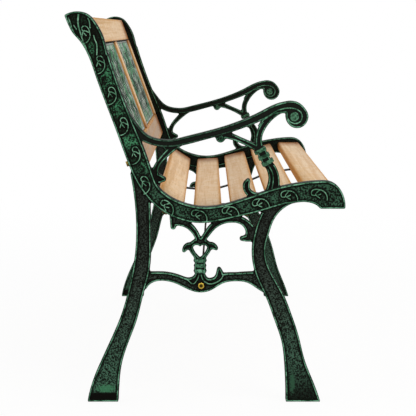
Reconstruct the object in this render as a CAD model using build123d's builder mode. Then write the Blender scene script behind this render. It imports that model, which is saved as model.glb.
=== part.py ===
"""Garden bench: two cast end frames carry five seat slats and a framed wooden back with trellis panels.

The frame of reference is in millimetres: X runs along the bench, the sitter faces -Y and +Z is up.
The origin is on the ground, below the middle of the bench's box. An end frame is drawn in its own
plane as (forward, up), where forward is the distance towards the sitter's knees.
"""
import os
from math import ceil, cos, hypot, radians, sin

from build123d import *

# Length of the bench and thicknesses of the end frame's cast members, measured along X
bench_length = 1220.0
band_thickness = 30.0
arm_thickness = 28.0
leg_thickness = 26.0
support_thickness = 23.0
collar_thickness = 28.0
ornament_thickness = 19.0
boss_height = 1.5
boss_diameter = 20.0

# Wooden slats, rails and stiles
slat_width = 55.0
slat_thickness = 19.0
slat_edge_radius = 4.0
slat_end_gap = 2.0
rail_width = 55.0
stile_width = 60.0
board_thickness = 19.0
board_edge_radius = 3.0

# Back: its rake, the lower edge of its rear face as (forward, up), and the opening between its rails
back_rake = 20.0
back_foot = (-132.4, 431.0)
back_opening = 205.0

# Trellis panels, held in grooves of the rails and stiles
panel_thickness = 6.0
panel_border = 14.0
trellis_pitch = 54.0
trellis_bar = 7.0
groove_depth = 6.0
groove_side_gap = 0.1
panel_edge_gap = 0.8
tenon_end_gap = 0.5

# Cast lugs on the frame's inner face, and the hex screws with washers that hold the wood to them
lug_thickness = 5.0
lug_reach = 32.0
lug_width = 40.0
lug_root = 4.0
screw_diameter = 6.0
screw_gap = 0.15
screw_depth = 13.0
hex_across = 10.0
hex_height = 4.0
washer_diameter = 14.0
washer_thickness = 1.5

# Steel strip under the middle of the slats, with a pan-head screw up into each slat
strip_width = 18.0
strip_thickness = 3.0
strip_bend_radius = 8.0
strip_end_inset = 10.0
strip_screw_diameter = 4.0
strip_screw_depth = 12.0
strip_screw_head = 8.0
strip_screw_head_height = 2.5
strip_screw_head_radius = 1.5

# Brace rods from the strip to the boss on each end frame's stretcher
boss_place = (-9.0, 225.5)
brace_bolt_diameter = 6.0
brace_head_diameter = 12.0
brace_head_height = 4.0
brace_socket_across = 5.5
brace_socket_depth = 2.2
brace_head_radius = 1.8
brace_bolt_length = 36.0
barrel_diameter = 12.0
barrel_length = 26.0
barrel_bore_end = 2.0
rod_diameter = 4.0
eye_width = 16.0
eye_thickness = 3.5
eye_length = 20.0

# Each seat slat's underside: its middle as (forward, up), and its tilt, positive when the front is higher
slat_seats = [
    (-74.5, 367.5, -32.0),
    (4.0, 351.5, 3.0),
    (77.0, 365.0, 13.5),
    (146.0, 385.0, 14.5),
    (215.5, 394.0, 0.0),
]
braced_slat = 1

# Cast members as stations of (forward, up, width) along the middle of each
seat_band = [
    (-117, 434, 34.5), (-103, 408, 29.5), (-74.5, 381, 30.5), (-38, 365, 32), (-11, 360.5, 31),
    (24.5, 363.5, 28.5), (62, 372.5, 30), (98, 383, 33), (132, 394, 34), (171, 403.5, 33), (186, 405.5, 33),
]
rear_leg = [
    (-126, 442, 34), (-120, 390, 30), (-118, 330, 28), (-119, 290, 30), (-123.5, 252, 32),
    (-134, 209, 30), (-146, 165, 31.5), (-164, 119, 33), (-181, 74, 40), (-192, 33, 52), (-198, -10, 60),
]
front_leg = [
    (131, 379, 28), (116, 356, 27), (106.5, 329, 27.5), (100, 292, 26), (107, 254, 29),
    (130, 207, 33), (147.5, 162, 34.5), (161, 121, 34.5), (169.5, 77, 39.5), (179, 33, 54), (186.5, -10, 69),
]
stretcher = [
    (-120, 234, 36), (-101, 241, 20), (-79, 242, 17), (-52, 235.5, 17.5), (-31, 227.5, 22), (-10, 226, 30),
    (9, 226.5, 21), (29, 237, 18), (55, 241, 16.5), (82, 240, 22), (98, 236, 31), (116, 230, 40),
]
left_branch = [
    (-62, 347.5, 17), (-45, 345.5, 15), (-32, 339, 13), (-24, 331, 12), (-17, 320, 11), (-14, 306, 10),
]
left_leaf = [(-62.5, 358, 13), (-62, 346, 12), (-62, 337, 10.5)]
right_branch = [
    (86, 318, 26), (84.5, 331, 20), (77, 342, 15.5), (64.5, 350, 14), (50, 352, 14), (36, 350, 13),
    (22, 344, 12.5), (11, 335.5, 13), (3, 325, 12), (-4, 315, 11), (-8, 304, 10),
]
leg_curl = [(90, 316, 14), (79, 315.5, 13.5), (71.5, 314.5, 10.5), (68, 314.5, 8.5)]
left_heart_curl = [(-28, 300.5, 12), (-36, 299, 12), (-40.5, 294.5, 9.5), (-41.5, 292, 8)]
right_heart_curl = [(6, 301, 12), (14, 300, 12), (18.5, 297, 9), (19.5, 296, 8)]
stem = [(-11, 284, 15), (-11, 274, 23), (-11, 266, 20), (-11, 259, 23), (-11, 250, 20), (-11, 238, 24)]
stem_root = [(-16, 249.5, 11), (-18, 240.5, 11), (-26.5, 234.5, 11), (-35.5, 233.5, 11), (-44.5, 236, 11)]
stretcher_leaf = [
    (-6.5, 249, 11), (-4.5, 240, 11), (1.5, 233.5, 11.5), (8.5, 231.5, 13.5),
    (18.5, 234.5, 13.5), (25.5, 243, 14.5), (26, 251.5, 12), (25, 255.5, 8.5),
]
armrest = [
    (-150, 548, 15), (-131, 520, 18), (-110, 503.5, 14.5), (-86, 496.5, 14), (-62, 496, 14), (-39, 500.5, 15),
    (-2, 510, 14.5), (36, 520.5, 14.5), (73, 533.5, 15), (104, 547, 16), (124, 557, 17), (146, 563, 21),
    (171.5, 562, 21),
]
arm_bracket = [
    (140, 559, 14), (120, 544, 13), (107.5, 528, 13), (100, 509, 12.5), (100, 494, 13), (105, 480, 15),
]
arm_prop = [(33, 511, 11), (48, 508.5, 12), (62, 503, 10.5), (80, 495, 11), (102, 482, 12)]
arm_collar = [(101.5, 486, 20), (109.5, 471, 18), (118, 455, 19)]
arm_foot = [(116, 459, 16), (124.5, 446, 19), (128.5, 432, 20.5), (128, 416, 23), (124, 398, 28)]
seat_hook = [
    (118, 396, 16), (99, 395, 13), (85.5, 399, 13), (77.5, 408, 13), (76.5, 418, 13), (80, 425, 8.5),
]
rear_prop = [
    (-50, 498, 17), (-66, 484, 13), (-77, 473, 11.5), (-87.5, 461, 10.5),
    (-93.5, 450, 11.5), (-96.5, 441, 15.5), (-98, 430, 22),
]
rear_prop_foot = [(-106, 431, 24), (-95, 429.5, 20), (-86, 428.5, 16), (-80, 428, 10)]
prop_ball_centre = (27.5, 506.0)
prop_ball_radius = 9.0

# Scroll at the armrest's front end, from its top round to where its curl meets the arm's underside
scroll_edge = [
    (150, 574.5), (162.5, 575.5), (175, 572), (186.5, 561.5), (192.5, 548.5), (190, 536),
    (180.5, 526.5), (168, 524.5), (156.5, 530.5), (150.5, 541.5), (150, 551),
]

# The band's upright part, as (rise up the back's slope, distance in front of the boards' rear face, width)
back_band = [(177, 13, 35), (98, 14, 35.5), (38, 15, 38)]

# Flared top of the band, with its rise counted from the boards' top edge: where the upright part enters it,
# its rear edge from below up to the tip, and its front edge from the tip over the crest and down
crest_neck = (-78, 15, 36)
crest_rear = [(-90, -3.5), (-58, -5), (-38, -9.5), (-22, -16), (-3, -19), (16, -19.5)]
crest_front = [(16, -19.5), (17, -11), (13, 9), (2, 23), (-16, 30.5), (-42, 34.5), (-70, 32.5), (-98, 29)]

# Blunt nose of the seat band, from its arch underneath round to its top
nose_arch = [(148, 381), (160, 382.5), (172, 384), (185.5, 385), (197.5, 383.5), (208, 379.5), (216, 372)]
nose_front = [
    (263.5, 372), (263, 386), (258, 402), (248, 416), (233, 424), (214, 425), (186, 422.5), (160, 418),
]

# Arch where the front leg spreads into the band, closed by two points inside the casting
leg_arch = [(121, 331), (124.5, 342), (131.5, 355.5), (140, 366.5), (149.5, 374.5), (158.5, 380), (168, 383)]
leg_arch_inside = [(150, 398), (116, 366)]

# Heart of the ornament, its right half about the middle line, as (across, up): outline and hole
heart_middle = -11.0
heart_outline = [(0, 317), (12, 312), (21, 303), (21, 293), (15, 283), (8, 275), (0, 272)]
heart_hole = [(0, 299), (4, 302), (9, 302), (13, 299), (12, 293), (6, 284), (0, 278)]

# Places along X that several pieces share
frame_middle = (bench_length - band_thickness) / 2
frame_inner = frame_middle - band_thickness / 2
wood_length = 2 * (frame_inner - slat_end_gap)
screw_x = frame_inner - lug_reach / 2
screw_hole = screw_diameter + 2 * screw_gap
boss_thickness = ornament_thickness + 2 * boss_height

# Levels up the back, along its slope from the lower edge, and heights in front of its rear face
opening_start = rail_width
opening_end = opening_start + back_opening
opening_middle = (opening_start + opening_end) / 2
back_height = opening_end + rail_width
groove_width = panel_thickness + 2 * groove_side_gap
groove_level = (board_thickness - groove_width) / 2
panel_level = (board_thickness - panel_thickness) / 2
panel_edge = groove_depth - panel_edge_gap
tenon_length = groove_depth - tenon_end_gap
panel_opening = (wood_length - 3 * stile_width) / 2
panel_x = (panel_opening + stile_width) / 2

rail_middles = {"bottom": rail_width / 2, "top": back_height - rail_width / 2}
groove_edges = {"bottom": opening_start, "top": opening_end}
end_names = {-1: "left", 1: "right"}


def end_plane(x):
    """The plane of an end frame at x, with forward and up as its axes."""
    return Plane(origin=(x, 0, 0), x_dir=(0, -1, 0), z_dir=(-1, 0, 0))


def seat_plane(seat, drop=0.0, x=0.0):
    """A plane on a slat's underside, or drop below it, with its x along the bench and its z up."""
    forward, up, tilt = seat
    normal = Vector(0, sin(radians(tilt)), cos(radians(tilt)))
    return Plane(origin=Vector(x, -forward, up) - normal * drop, x_dir=(1, 0, 0), z_dir=normal)


def back_plane(level=0.0):
    """The rear face of the back's boards, or level in front of it: y is up the slope, z to the front."""
    forward, up = back_foot
    normal = Vector(0, -cos(radians(back_rake)), sin(radians(back_rake)))
    return Plane(origin=Vector(0, -forward, up) + normal * level, x_dir=(1, 0, 0), z_dir=normal)


def on_back(rise, front):
    """A point of the back's slope as (forward, up)."""
    forward, up = back_foot
    lean = radians(back_rake)
    return (forward - rise * sin(lean) + front * cos(lean), up + rise * cos(lean) + front * sin(lean))


def strap_edges(stations):
    """Both edges of a cast member: points half its width to either side of its stations."""
    left = []
    right = []
    for i, (forward, up, width) in enumerate(stations):
        before = stations[max(i - 1, 0)]
        after = stations[min(i + 1, len(stations) - 1)]
        run = (after[0] - before[0], after[1] - before[1])
        length = hypot(*run)
        across = (-run[1] / length * width / 2, run[0] / length * width / 2)
        left.append((forward + across[0], up + across[1]))
        right.append((forward - across[0], up - across[1]))
    return left, right


def strap(stations, round_end=False):
    """Add a cast member's flat shape to the sketch, with a round end where it finishes in a curl."""
    left, right = strap_edges(stations)
    with BuildLine() as outline:
        Spline(*left)
        Line(left[-1], right[-1])
        Spline(*right)
        Line(right[0], left[0])
    make_face(outline.edges())
    if round_end:
        forward, up, width = stations[-1]
        with Locations((forward, up)):
            Circle(width / 2)


def band():
    """Add the S-shaped band to the sketch: its upright part, its flared crest and its run under the seat."""
    neck_rise, neck_front, neck_width = crest_neck
    upright = [(back_height + neck_rise, neck_front, neck_width)] + back_band
    strap([(*on_back(rise, front), width) for rise, front, width in upright] + seat_band)
    rear_edge = [on_back(back_height + rise, front) for rise, front in crest_rear]
    front_edge = [on_back(back_height + rise, front) for rise, front in crest_front]
    with BuildLine() as outline:
        Spline(*rear_edge)
        Spline(*front_edge)
        Line(front_edge[-1], rear_edge[0])
    make_face(outline.edges())


def nose():
    """Add the blunt front end of the seat band to the sketch."""
    with BuildLine() as outline:
        Spline(*nose_arch)
        Line(nose_arch[-1], nose_front[0])
        Spline(*nose_front)
        Line(nose_front[-1], nose_arch[0])
    make_face(outline.edges())


def scroll():
    """Add the scroll of the armrest to the sketch."""
    with BuildLine() as outline:
        Spline(*scroll_edge)
        Line(scroll_edge[-1], scroll_edge[0])
    make_face(outline.edges())


def spread_of_leg():
    """Add the arched spread of the front leg to the sketch."""
    with BuildLine() as outline:
        Spline(*leg_arch)
        Polyline(leg_arch[-1], *leg_arch_inside, leg_arch[0])
    make_face(outline.edges())


def heart(half, mode=Mode.ADD):
    """Add or cut a heart that is the same on both sides of the ornament's middle line."""
    right = [(heart_middle + across, up) for across, up in half]
    left = [(heart_middle - across, up) for across, up in half]
    with BuildLine() as outline:
        Spline(*right)
        Spline(*left)
    make_face(outline.edges(), mode=mode)


def ground_cut():
    """Cut the sketch level with the ground."""
    with Locations((0, 0)):
        Rectangle(bench_length, bench_length, align=(Align.CENTER, Align.MAX), mode=Mode.SUBTRACT)


def end_frame(side):
    """One cast end frame, with the lugs for the wood on its inner face."""
    plane = end_plane(side * frame_middle)
    with BuildPart() as frame:
        with BuildSketch(plane):
            band()
            nose()
        extrude(amount=band_thickness / 2, both=True)
        with BuildSketch(plane):
            strap(rear_leg)
            strap(front_leg)
            spread_of_leg()
            ground_cut()
        extrude(amount=leg_thickness / 2, both=True)
        with BuildSketch(plane):
            strap(armrest)
            scroll()
        extrude(amount=arm_thickness / 2, both=True)
        with BuildSketch(plane):
            for member in (arm_bracket, arm_prop, arm_foot, rear_prop):
                strap(member)
            for member in (seat_hook, rear_prop_foot):
                strap(member, round_end=True)
            with Locations(prop_ball_centre):
                Circle(prop_ball_radius)
        extrude(amount=support_thickness / 2, both=True)
        with BuildSketch(plane):
            strap(arm_collar)
        extrude(amount=collar_thickness / 2, both=True)
        with BuildSketch(plane):
            heart(heart_outline)
            for member in (stretcher, left_branch, right_branch, stem, stem_root):
                strap(member)
            for member in (left_leaf, leg_curl, left_heart_curl, right_heart_curl, stretcher_leaf):
                strap(member, round_end=True)
            heart(heart_hole, mode=Mode.SUBTRACT)
        extrude(amount=ornament_thickness / 2, both=True)
        with BuildSketch(plane):
            with Locations(boss_place):
                Circle(boss_diameter / 2)
        extrude(amount=boss_thickness / 2, both=True)
        lug_middle = side * (frame_inner + lug_root - (lug_reach + lug_root) / 2)
        for seat in slat_seats:
            with BuildSketch(seat_plane(seat, drop=lug_thickness)):
                with Locations((lug_middle, 0)):
                    Rectangle(lug_reach + lug_root, lug_width)
            extrude(amount=lug_thickness)
            with BuildSketch(seat_plane(seat, drop=lug_thickness)):
                with Locations((side * screw_x, 0)):
                    Circle(screw_hole / 2)
            extrude(amount=lug_thickness, mode=Mode.SUBTRACT)
        for middle in rail_middles.values():
            with BuildSketch(back_plane(level=-lug_thickness)):
                with Locations((lug_middle, middle)):
                    Rectangle(lug_reach + lug_root, lug_width)
            extrude(amount=lug_thickness)
            with BuildSketch(back_plane(level=-lug_thickness)):
                with Locations((side * screw_x, middle)):
                    Circle(screw_hole / 2)
            extrude(amount=lug_thickness, mode=Mode.SUBTRACT)
        with BuildSketch(plane):
            with Locations(boss_place):
                Circle(brace_bolt_diameter / 2 + screw_gap)
        extrude(amount=boss_thickness / 2, both=True, mode=Mode.SUBTRACT)
    return frame


def middle_screw_hole(number):
    """The hole that a slat and the strip share: wider where the braces are screwed up as well."""
    if number == braced_slat:
        return screw_hole
    return strip_screw_diameter + 2 * screw_gap


def seat_slat(number):
    """A seat slat with rounded long edges, drilled from below for its screws."""
    seat = slat_seats[number]
    with BuildPart() as slat:
        with BuildSketch(seat_plane(seat)):
            Rectangle(wood_length, slat_width)
        extrude(amount=slat_thickness)
        fillet(slat.edges().filter_by(Axis.X), slat_edge_radius)
        with BuildSketch(seat_plane(seat)):
            with Locations((-screw_x, 0), (screw_x, 0)):
                Circle(screw_hole / 2)
        extrude(amount=screw_depth + screw_gap, mode=Mode.SUBTRACT)
        middle_depth = screw_depth if number == braced_slat else strip_screw_depth
        with BuildSketch(seat_plane(seat)):
            Circle(middle_screw_hole(number) / 2)
        extrude(amount=middle_depth + screw_gap, mode=Mode.SUBTRACT)
    return slat


def back_rail(middle, groove_edge):
    """A rail of the back, grooved along the edge that faces the panels."""
    with BuildPart() as rail:
        with BuildSketch(back_plane()):
            with Locations((0, middle)):
                Rectangle(wood_length, rail_width)
        extrude(amount=board_thickness)
        fillet(rail.edges().filter_by(Axis.X), board_edge_radius)
        with BuildSketch(back_plane(level=groove_level)):
            with Locations((0, groove_edge)):
                Rectangle(wood_length, 2 * groove_depth)
        extrude(amount=groove_width, mode=Mode.SUBTRACT)
        with BuildSketch(back_plane()):
            with Locations((-screw_x, middle), (screw_x, middle)):
                Circle(screw_hole / 2)
        extrude(amount=screw_depth + screw_gap, mode=Mode.SUBTRACT)
    return rail


def back_stile(x, panel_sides):
    """An upright of the back, tenoned into both rails and grooved on the sides that hold a panel."""
    slope = Axis((0, 0, 0), back_plane().y_dir)
    with BuildPart() as stile:
        with BuildSketch(back_plane()):
            with Locations((x, opening_middle)):
                Rectangle(stile_width, back_opening)
        extrude(amount=board_thickness)
        fillet(stile.edges().filter_by(slope), board_edge_radius)
        with BuildSketch(back_plane(level=panel_level)):
            with Locations((x, opening_middle)):
                Rectangle(stile_width, back_opening + 2 * tenon_length)
        extrude(amount=panel_thickness)
        with BuildSketch(back_plane(level=groove_level)):
            with Locations(*[(x + side * stile_width / 2, opening_middle) for side in panel_sides]):
                Rectangle(2 * groove_depth, back_opening + 2 * tenon_length)
        extrude(amount=groove_width, mode=Mode.SUBTRACT)
    return stile


def back_panel(x):
    """A moulded panel: a plain border round diagonal trellis bars."""
    field_width = panel_opening - 2 * panel_border
    field_height = back_opening - 2 * panel_border
    reach = field_width / 2 + field_height / 2
    bars_each_way = ceil(reach / trellis_pitch)
    bar_places = [i * trellis_pitch for i in range(-bars_each_way, bars_each_way + 1)]
    with BuildSketch(mode=Mode.PRIVATE) as trellis:
        with Locations(*[(place, 0) for place in bar_places]):
            Rectangle(2 * reach, trellis_bar, rotation=45)
            Rectangle(2 * reach, trellis_bar, rotation=-45)
        Rectangle(field_width + trellis_bar, field_height + trellis_bar, mode=Mode.INTERSECT)
    with BuildPart() as panel:
        with BuildSketch(back_plane(level=panel_level)):
            with Locations((x, opening_middle)):
                Rectangle(panel_opening + 2 * panel_edge, back_opening + 2 * panel_edge)
                Rectangle(field_width, field_height, mode=Mode.SUBTRACT)
                add(trellis.sketch)
        extrude(amount=panel_thickness)
    return panel


def strip_path():
    """The strip's middle line as (forward, up): flat under every slat, bent in the gaps between them."""
    points = []
    for number, (forward, up, tilt) in enumerate(slat_seats):
        along = (cos(radians(tilt)), sin(radians(tilt)))
        rear = slat_width / 2
        front = slat_width / 2
        if number == 0:
            rear -= strip_end_inset
        if number == len(slat_seats) - 1:
            front -= strip_end_inset
        for distance in (-rear, front):
            points.append((
                forward + distance * along[0] + along[1] * strip_thickness / 2,
                up + distance * along[1] - along[0] * strip_thickness / 2,
            ))
    return points


def seat_strip():
    """The flat steel strip that ties the slats together below the middle of the seat."""
    with BuildPart() as strip:
        with BuildSketch(end_plane(0)):
            with BuildLine() as middle_line:
                FilletPolyline(*strip_path(), radius=strip_bend_radius)
            trace(middle_line.edges(), line_width=strip_thickness)
        extrude(amount=strip_width / 2, both=True)
        for number, seat in enumerate(slat_seats):
            with BuildSketch(seat_plane(seat, drop=strip_thickness)):
                Circle(middle_screw_hole(number) / 2)
            extrude(amount=strip_thickness, mode=Mode.SUBTRACT)
    return strip


def strip_screws():
    """Pan-head screws from the strip up into every slat but the braced one."""
    with BuildPart() as screws:
        for number, seat in enumerate(slat_seats):
            if number == braced_slat:
                continue
            with BuildSketch(seat_plane(seat, drop=strip_thickness)):
                Circle(strip_screw_diameter / 2)
            extrude(amount=strip_thickness + strip_screw_depth)
            with BuildSketch(seat_plane(seat, drop=strip_thickness + strip_screw_head_height)):
                Circle(strip_screw_head / 2)
            extrude(amount=strip_screw_head_height)
            head_axis = Axis((0, 0, 0), seat_plane(seat).z_dir)
            rims = screws.edges(Select.LAST).filter_by(GeomType.CIRCLE).sort_by(head_axis)
            fillet(rims[0], strip_screw_head_radius)
    return screws


def hex_screws(planes, grip):
    """Hex screws standing on the given planes, with a shank through the grip and into the wood."""
    with BuildPart() as screws:
        for plane in planes:
            with BuildSketch(plane):
                RegularPolygon(hex_across / 2, 6, major_radius=False)
            extrude(amount=-hex_height)
            with BuildSketch(plane):
                Circle(screw_diameter / 2)
            extrude(amount=grip + screw_depth)
    return screws


def washers(planes):
    """Plain washers standing on the given planes."""
    with BuildPart() as rings:
        for plane in planes:
            with BuildSketch(plane):
                Circle(washer_diameter / 2)
                Circle(screw_hole / 2, mode=Mode.SUBTRACT)
            extrude(amount=washer_thickness)
    return rings


def brace_rod(side, level):
    """A round rod with a barrel at the end frame and a flat eye, level places down the stack of eyes."""
    eye_plane = seat_plane(slat_seats[braced_slat], drop=strip_thickness + (level + 1) * eye_thickness)
    barrel_start = frame_middle - boss_thickness / 2
    bore_depth = brace_bolt_length - boss_thickness + barrel_bore_end
    solid_middle = barrel_start - (barrel_length + bore_depth) / 2
    start = Vector(side * solid_middle, -boss_place[0], boss_place[1])
    finish = eye_plane.from_local_coords(Vector(side * eye_length, 0, eye_thickness / 2))
    with BuildPart() as rod:
        with BuildSketch(eye_plane):
            with Locations((side * eye_length / 2, 0)):
                SlotCenterToCenter(eye_length, eye_width)
            Circle(screw_hole / 2, mode=Mode.SUBTRACT)
        extrude(amount=eye_thickness)
        with BuildSketch(Plane(origin=start, z_dir=finish - start)):
            Circle(rod_diameter / 2)
        extrude(amount=(finish - start).length)
        with BuildSketch(end_plane(side * barrel_start)):
            with Locations(boss_place):
                Circle(barrel_diameter / 2)
        extrude(amount=side * barrel_length)
        with BuildSketch(end_plane(side * barrel_start)):
            with Locations(boss_place):
                Circle(brace_bolt_diameter / 2 + screw_gap)
        extrude(amount=side * bore_depth, mode=Mode.SUBTRACT)
    return rod


def brace_bolt(side):
    """A button-head bolt with a hex socket, from outside the boss into the rod's barrel."""
    head_plane = end_plane(side * (frame_middle + boss_thickness / 2))
    with BuildPart() as bolt:
        with BuildSketch(head_plane):
            with Locations(boss_place):
                Circle(brace_head_diameter / 2)
        extrude(amount=-side * brace_head_height)
        rims = bolt.edges().filter_by(GeomType.CIRCLE).sort_by(Axis.X)
        fillet(rims[-1] if side > 0 else rims[0], brace_head_radius)
        with BuildSketch(head_plane.offset(-side * brace_head_height)):
            with Locations(boss_place):
                RegularPolygon(brace_socket_across / 2, 6, major_radius=False)
        extrude(amount=side * brace_socket_depth, mode=Mode.SUBTRACT)
        with BuildSketch(head_plane):
            with Locations(boss_place):
                Circle(brace_bolt_diameter / 2)
        extrude(amount=side * brace_bolt_length)
    return bolt


def save(piece, name):
    """Label a finished piece and write it as a file of that name."""
    piece.part.label = name
    export_step(piece.part, f"parts/{name}.step")


os.makedirs("parts", exist_ok=True)

for side, end in end_names.items():
    save(end_frame(side), f"{end}_end_frame")

for number in range(len(slat_seats)):
    save(seat_slat(number), f"seat_slat_{number + 1}")

for place, middle in rail_middles.items():
    save(back_rail(middle, groove_edges[place]), f"back_{place}_rail")

end_stile_x = (wood_length - stile_width) / 2
save(back_stile(-end_stile_x, [1]), "back_left_stile")
save(back_stile(0, [-1, 1]), "back_middle_stile")
save(back_stile(end_stile_x, [-1]), "back_right_stile")

save(seat_strip(), "seat_strip")
save(strip_screws(), "strip_screws")

for level, (side, end) in enumerate(end_names.items()):
    save(back_panel(side * panel_x), f"{end}_back_panel")
    save(brace_rod(side, level), f"{end}_brace_rod")
    save(brace_bolt(side), f"{end}_brace_bolt")

eye_stack = strip_thickness + len(end_names) * eye_thickness
centre_plane = seat_plane(slat_seats[braced_slat], drop=eye_stack)
save(hex_screws([centre_plane], eye_stack), "brace_centre_screw")

screw_grip = lug_thickness + washer_thickness
for side, end in end_names.items():
    seat_planes = [seat_plane(seat, drop=screw_grip, x=side * screw_x) for seat in slat_seats]
    rear_plane = back_plane(level=-screw_grip)
    back_planes = []
    for middle in rail_middles.values():
        place = rear_plane.from_local_coords(Vector(side * screw_x, middle, 0))
        back_planes.append(Plane(origin=place, x_dir=rear_plane.x_dir, z_dir=rear_plane.z_dir))
    save(hex_screws(seat_planes, screw_grip), f"{end}_seat_screws")
    save(washers(seat_planes), f"{end}_seat_washers")
    save(hex_screws(back_planes, screw_grip), f"{end}_back_screws")
    save(washers(back_planes), f"{end}_back_washers")
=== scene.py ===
"""Looks of a garden bench with cast end frames, wooden seat slats and a framed trellis back.

Sizes are named in millimetres and turned to metres where they are used. A place on an end frame is
written as (forward, up): forward is the way the sitter faces, which is -Y, and up is +Z.
"""
from math import copysign, cos, pi, radians, sin

import bmesh
import bpy
from mathutils import Matrix, Vector


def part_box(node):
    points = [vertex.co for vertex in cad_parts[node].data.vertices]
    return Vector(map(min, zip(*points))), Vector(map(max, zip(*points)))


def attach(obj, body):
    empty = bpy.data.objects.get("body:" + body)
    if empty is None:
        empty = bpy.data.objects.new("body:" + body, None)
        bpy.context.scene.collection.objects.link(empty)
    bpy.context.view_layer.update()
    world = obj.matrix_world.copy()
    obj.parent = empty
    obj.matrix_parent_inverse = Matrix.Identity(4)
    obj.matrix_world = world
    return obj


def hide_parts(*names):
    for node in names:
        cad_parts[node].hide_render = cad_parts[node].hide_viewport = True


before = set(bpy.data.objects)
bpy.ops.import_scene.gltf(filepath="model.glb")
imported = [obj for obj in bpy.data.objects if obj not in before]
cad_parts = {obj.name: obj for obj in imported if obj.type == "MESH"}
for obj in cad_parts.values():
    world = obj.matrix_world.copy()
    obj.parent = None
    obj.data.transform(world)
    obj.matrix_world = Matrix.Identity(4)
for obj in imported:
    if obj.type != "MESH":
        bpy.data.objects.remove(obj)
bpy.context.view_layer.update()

MM = 0.001

# Distance within which loose corners of a node's triangles are joined
merge_distance = 0.01

# Half thickness of the castings' band and other members, and how closely a point has to match it to lie
# on one of their faces
band_half = 15.0
arm_half = 14.0
support_half = 11.5
boss_half = 11.0
ornament_half = 9.5
level_slack = 0.1

# How far the castings' flat ground lies below the raised rims
ground_drop = 2.0

# Rims: radius, the radius of those along the arms, how far they lie inside the edges and below the face,
# how much is trimmed off their open ends, and the shortest run of edges that gets one
rim_radius = 1.25
arm_rim_radius = 1.2
rim_inset = 2.1
rim_sink = 0.2
rim_trim = 3.0
shortest_rim = 20.0

# Share of a face's normal that is sideways: at least, on a flat face, and at most, on a wall
flat_share = 0.99
wall_share = 0.3

# Square of the cosine of the sharpest half corner that a rim is drawn into
sharpest_corner = 0.25

# Vines: radius and depth below the band's face. All raised lines: spacing of the rings along them, sides
vine_radius = 1.05
vine_sink = 0.1
ridge_step = 2.5
ridge_sides = 8

# Dense skin of the castings: grid, rounds of smoothing, pebbles of the ground, and the rise of its field
skin_grid = 1.85
skin_smoothing = 3
pebble_size = 4.0
pebble_height = 0.7
field_rise = 0.9

# Where the field starts and where it is full: distance from the rims and from other relief, height on the
# feet, to which a share of the way forward is added, and how squarely a face looks sideways
rim_clearance = (1.2, 4.5)
relief_clearance = (2.0, 6.5)
foot_field = (17.0, 20.0)
front_foot_lift = 0.09
field_facing = (0.6, 0.9)

# How much of the band's stipple the plain members keep
plain_stipple = 0.12

# The stretcher's boss, which has no rim, and the socket of the bolt through it, with painted shade in and
# round it
boss_place = (-9.0, 225.5)
boss_reach = 10.5
socket_reach = 2.9
socket_shade_reach = 4.0

# Vine tendril as (upstream, towards the sitter): the long curl, the leaf inside it and the leaf's vein
tendril_curl = [
    (-13, -13), (-13.5, -7), (-11, 0), (-5.5, 5.5), (2, 8), (9, 8.6),
    (14.3, 6.5), (16.3, 2.6), (15.4, -1.4), (12.2, -2.9), (8.2, -2.2),
]
tendril_leaf = [(0.5, 7.4), (4.5, 3.8), (8, 0.5), (7.4, -2.7), (4, -5.6), (0, -8.7)]
tendril_vein = [(5, -2.5), (1.3, -1.6), (-2.2, -0.4)]

# Places of the tendrils along the band, from its nose under the sitter's knees up to its crest
tendril_places = [
    (215, 401), (158, 399), (104, 384), (47, 369), (-11, 361), (-71, 376),
    (-113, 418), (-131, 473), (-153, 528), (-175, 585), (-196, 643), (-223, 699),
]

# Flutes of the crest's leaf, each with the radius of its two ends
crest_flutes = [
    ([(-237, 737), (-238, 724), (-237, 714), (-233, 700), (-229, 687), (-224, 676), (-222, 669)], 2.0, 1.1),
    ([(-256, 731), (-252, 720), (-249, 710), (-243, 698), (-236, 691), (-230, 685)], 1.1, 1.3),
    ([(-246, 717), (-243.5, 712.5), (-240.5, 708.5)], 0.9, 1.1),
    ([(-220, 730), (-217, 724), (-216, 717), (-215.5, 711)], 1.1, 1.4),
    ([(-209, 698), (-207, 690), (-204, 684), (-203, 677), (-203, 669), (-203.5, 661)], 1.1, 1.7),
]

# Leaves over the stretcher's boss, ridge down the arm's foot, and line from the bracket round the scroll
stretcher_leaves = [
    [(-9, 246), (-6.5, 238), (-0.5, 231), (8.5, 228), (19.5, 231), (28.5, 237), (33, 245)],
    [(-13, 246), (-15, 239.5), (-18.5, 233.5), (-22.5, 229), (-27.5, 229), (-32, 233.5), (-36, 237)],
]
arm_foot_ridge = [(117.5, 455), (125, 441.5), (127, 429), (125.5, 415), (122, 403)]
scroll_line = [
    (99, 527), (107.5, 539.5), (116, 545.5), (125.5, 552.5), (134, 557.5), (142, 560), (150, 562),
    (158.5, 562), (167, 561), (175, 557), (179.5, 551.5), (180.5, 545.5), (178.5, 539), (174.5, 535),
    (168, 533), (162, 534.5), (156.5, 538), (153.5, 543.5),
]

# Bands across the arm's collar: slope, middle and half width of each, half height, and the radius and steps
# of their rounded edges
collar_slope = 28.0
collar_bands = [((102.5, 482), 11.8), ((109.5, 471), 11.4), ((116.5, 460), 12.0)]
collar_half_height = 3.6
collar_edge = 1.4
collar_edge_steps = 3

# Rings round the ornament's stem: middle and half width of each, the radius of their section, and the power
# that squares them off
stem_rings = [((-11, 272.5), 10.4), ((-11, 262.5), 9.8), ((-11, 252.5), 10.2)]
stem_radius = 5.0
ring_power = 0.5

# Domed eyes of the armrest's scroll and of the ball on its prop: middle, reach and half thickness of the
# member, then their height, steps round and rings, and the spiral on them: its turns, where it ends and its
# radius
eyes = [((166.2, 545.8), 8.6, arm_half), ((27.5, 506.0), 5.0, support_half)]
eye_height = 2.0
eye_steps = 24
eye_rings = 16
eye_turns = 1.5
eye_core = 1.5
eye_line_radius = 0.7

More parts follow.
